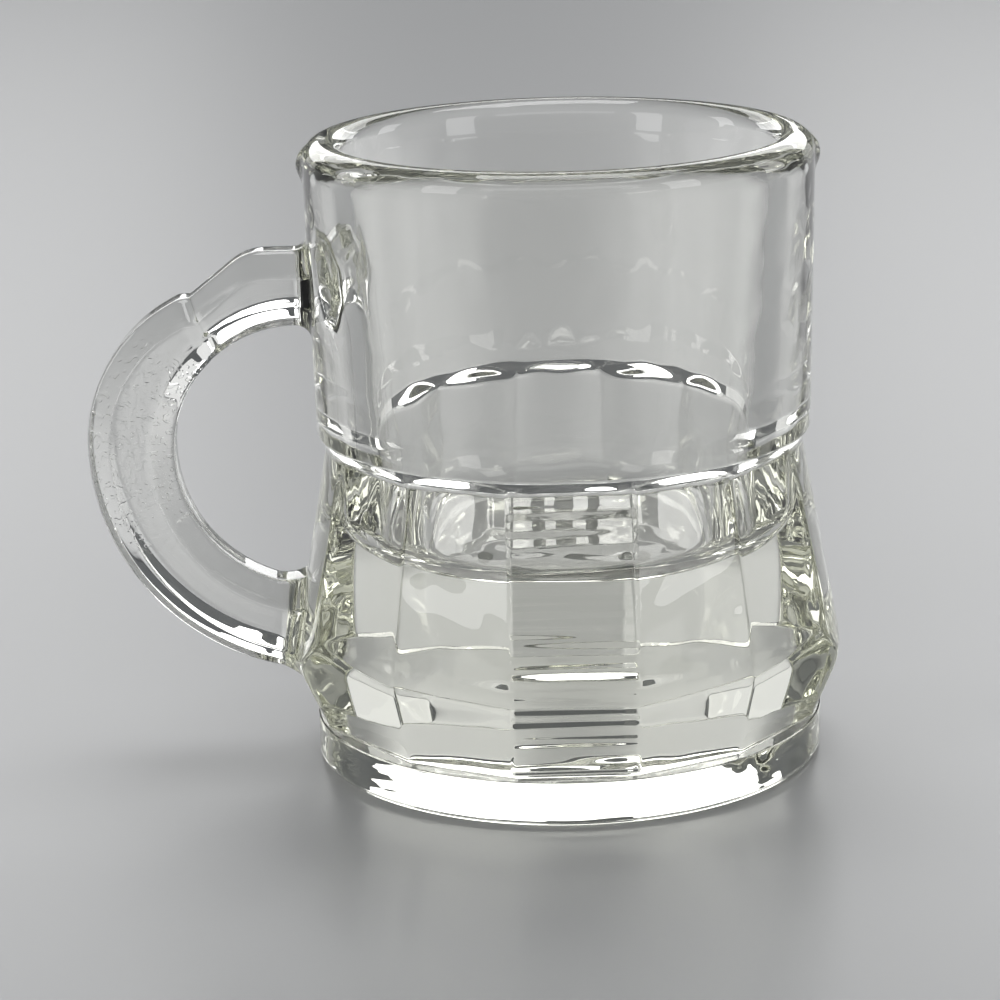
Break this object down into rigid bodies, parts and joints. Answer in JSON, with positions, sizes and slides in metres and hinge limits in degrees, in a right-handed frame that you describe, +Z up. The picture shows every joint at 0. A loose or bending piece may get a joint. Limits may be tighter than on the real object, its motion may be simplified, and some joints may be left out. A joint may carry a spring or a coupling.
{
  "type": "beer mug shot glass",
  "caption": "Small beer-mug shot glass in clear pressed glass: round drinking band over a flared panelled skirt on a round foot, with a bevelled C handle at one side.",
  "frame": {"origin": "on the cup's axis, at the table under the foot", "axes": "+Z up along the cup's axis, the handle towards -X, +Y to the back as the picture sees it"},
  "size_m": [0.0645, 0.0448, 0.054],
  "materials": {
    "clear_glass": "clear, fire-polished, faint yellow-green in thick places"
  },
  "bodies": {
    "root": {"lip": "clear_glass", "drinking_band": "clear_glass", "panelled_skirt": "clear_glass", "foot": "clear_glass", "handle_upper_root": "clear_glass", "handle_upper_arm": "clear_glass", "handle_bow": "clear_glass", "handle_lower_root": "clear_glass"}
  },
  "joints": []
}
